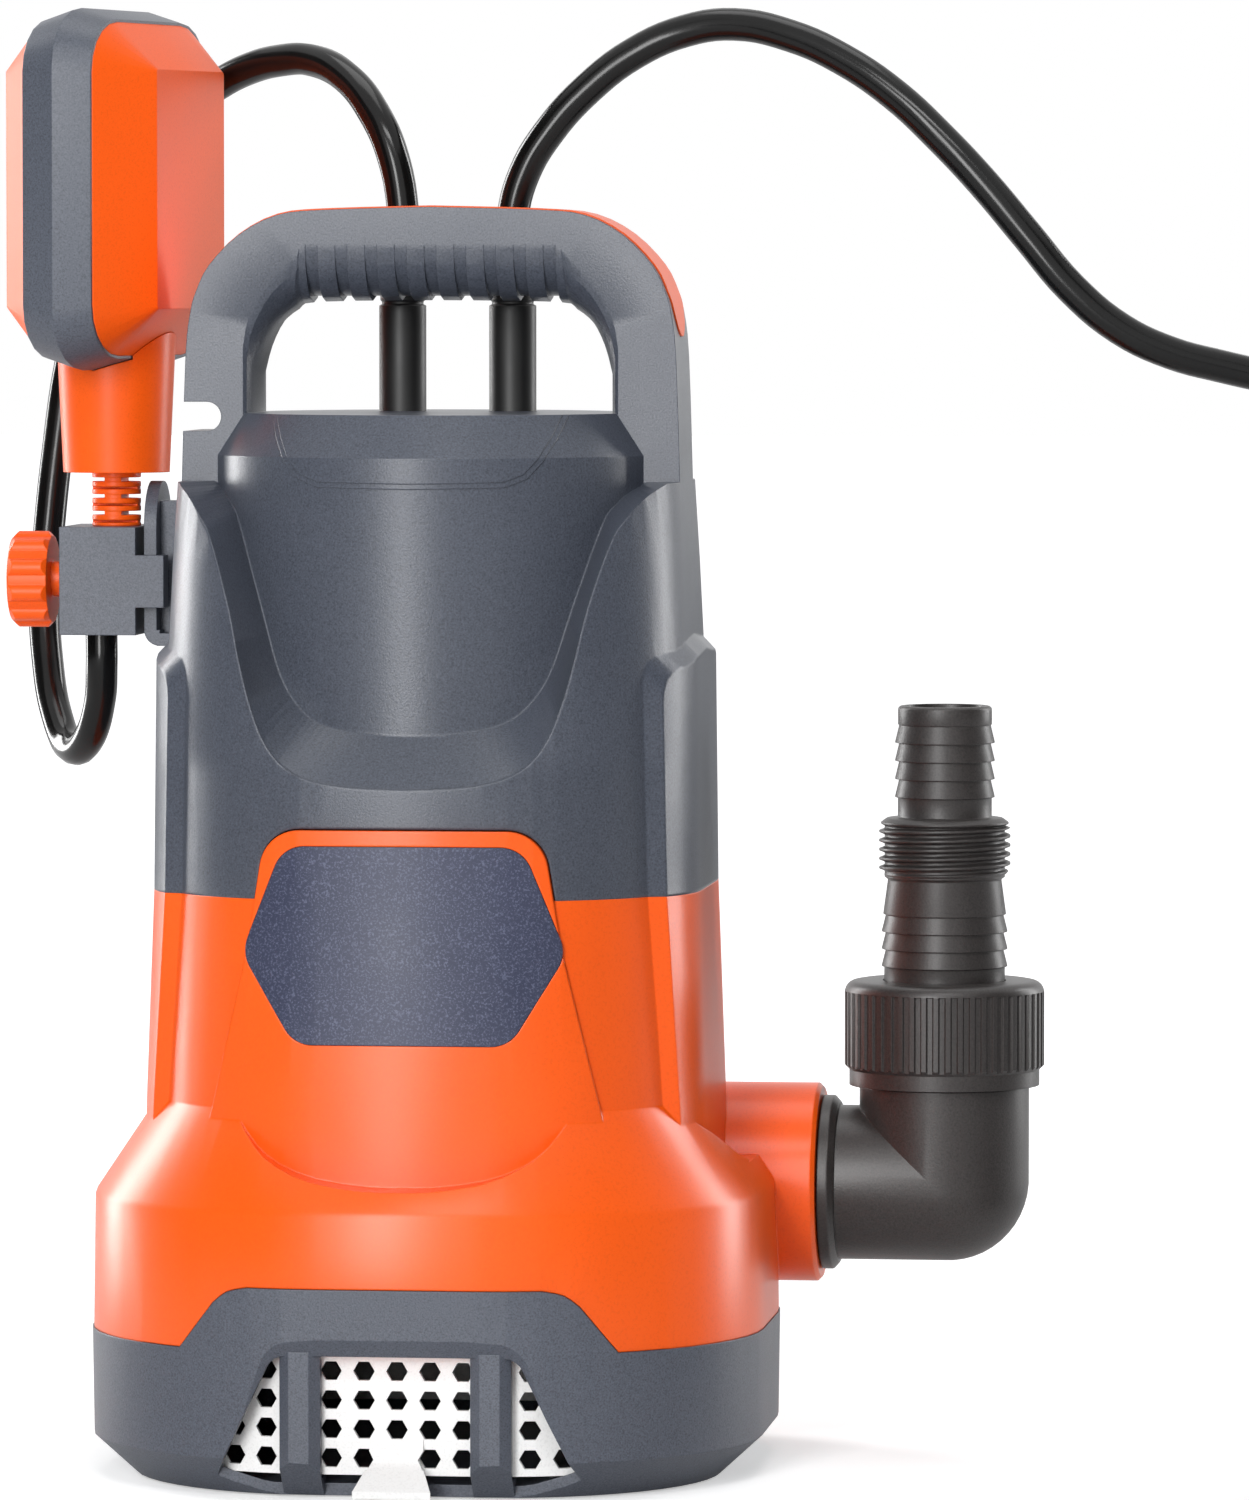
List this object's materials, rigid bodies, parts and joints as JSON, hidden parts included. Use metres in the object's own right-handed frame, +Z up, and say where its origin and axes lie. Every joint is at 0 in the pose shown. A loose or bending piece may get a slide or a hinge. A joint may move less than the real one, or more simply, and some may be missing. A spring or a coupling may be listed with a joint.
{
  "type": "submersible sump pump",
  "caption": "Submersible sump pump with a carrying handle, strainer base, float switch on a side rail, swivel outlet elbow and stepped hose adaptor.",
  "frame": {"origin": "on the floor at the axis of the pump's motor", "axes": "+Z up, +X towards the outlet, -Y to the front with the badge"},
  "size_m": [0.5736, 0.1949, 0.3643],
  "materials": {
    "grey_plastic": "fine-grained, satin",
    "white_plastic": "satin",
    "orange_plastic": "semi-gloss",
    "badge_film": "smooth film",
    "black_plastic": "satin",
    "rubber": "matte",
    "cord_rubber": "matte, slightly ribbed",
    "steel": "machined",
    "lamination": "laminated",
    "copper": "enamelled wire",
    "plated_brass": "plated"
  },
  "bodies": {
    "pump": {"strainer_base": "grey_plastic", "filter_screen": "white_plastic", "base_screws": "steel", "suction_plate": "black_plastic", "pump_housing": "orange_plastic", "badge_plate": "badge_film", "cover_screws": "steel", "housing_seal": "rubber", "upper_cover": "grey_plastic", "handle_inlay": "orange_plastic", "float_rail": "grey_plastic", "left_cord_sleeve": "rubber", "right_cord_sleeve": "rubber", "seal_plate": "grey_plastic", "motor_can": "steel", "stator_core": "lamination", "stator_windings": "copper", "lower_bearing": "steel", "upper_bearing": "steel", "seal_seat": "white_plastic", "capacitor": "black_plastic", "float_cord": "cord_rubber", "power_cord": "cord_rubber", "power_cord_coil": "cord_rubber", "power_plug": "cord_rubber", "plug_blades": "plated_brass"},
    "rotor": {"motor_shaft": "steel", "rotor_core": "lamination", "impeller": "black_plastic", "impeller_nut": "steel", "shaft_seal": "rubber"},
    "elbow": {"outlet_elbow": "black_plastic", "elbow_seal": "rubber", "union_seal": "rubber"},
    "adaptor": {"hose_adaptor": "black_plastic"},
    "nut": {"union_nut": "black_plastic"},
    "float_holder": {"clamp_block": "grey_plastic", "strain_boot": "orange_plastic"},
    "clamp_pad": {"clamp_pad": "rubber"},
    "clamp_knob": {"clamp_knob": "orange_plastic"},
    "float": {"float_neck": "orange_plastic", "float_shell_left": "orange_plastic", "float_shell_right": "orange_plastic", "float_band": "grey_plastic", "micro_switch": "black_plastic", "switch_lever": "plated_brass", "ball_track": "white_plastic"},
    "switch_ball": {"switch_ball": "steel"}
  },
  "joints": [
    {"name": "motor_spin", "type": "hinge", "parent": "pump", "child": "rotor", "pos_m": [0, 0, 0.12], "axis": [0, 0, 1], "continuous": true},
    {"name": "elbow_swivel", "type": "hinge", "parent": "pump", "child": "elbow", "pos_m": [0.0931, 0.04, 0.067], "axis": [1, 0, 0], "range_deg": [-90, 90]},
    {"name": "hose_adaptor_lift", "type": "slide", "parent": "elbow", "child": "adaptor", "axis": [0, 0, 1], "range_m": [0, 0.00925]},
    {"name": "union_nut_turn", "type": "hinge", "parent": "adaptor", "child": "nut", "pos_m": [0.124, 0.04, 0.107], "axis": [0, 0, 1], "range_deg": [0, 1440]},
    {"name": "float_holder_slide", "type": "slide", "parent": "pump", "child": "float_holder", "axis": [0, 0, 1], "range_m": [0, 0.02]},
    {"name": "clamp_pad_slide", "type": "slide", "parent": "float_holder", "child": "clamp_pad", "axis": [1, 0, 0], "range_m": [-0.00226, 0]},
    {"name": "clamp_knob_turn", "type": "hinge", "parent": "clamp_pad", "child": "clamp_knob", "pos_m": [-0.1075, 0.026, 0.22005], "axis": [1, 0, 0], "range_deg": [-540, 0]},
    {"name": "float_tilt", "type": "hinge", "parent": "float_holder", "child": "float", "pos_m": [-0.086, 0.026, 0.2405], "axis": [0, 1, 0], "range_deg": [-30, 0], "stiffness_Nm_per_rad": 1.2, "deforming": ["strain_boot"]},
    {"name": "ball_roll", "type": "slide", "parent": "float", "child": "switch_ball", "axis": [0, 0, 1], "range_m": [0, 0.024]}
  ],
  "couplings": [
    {"joint": "hose_adaptor_lift", "follows": "union_nut_turn", "m_per_rad": 0.00036749},
    {"joint": "clamp_pad_slide", "follows": "clamp_knob_turn", "m_per_rad": 0.00023873}
  ]
}
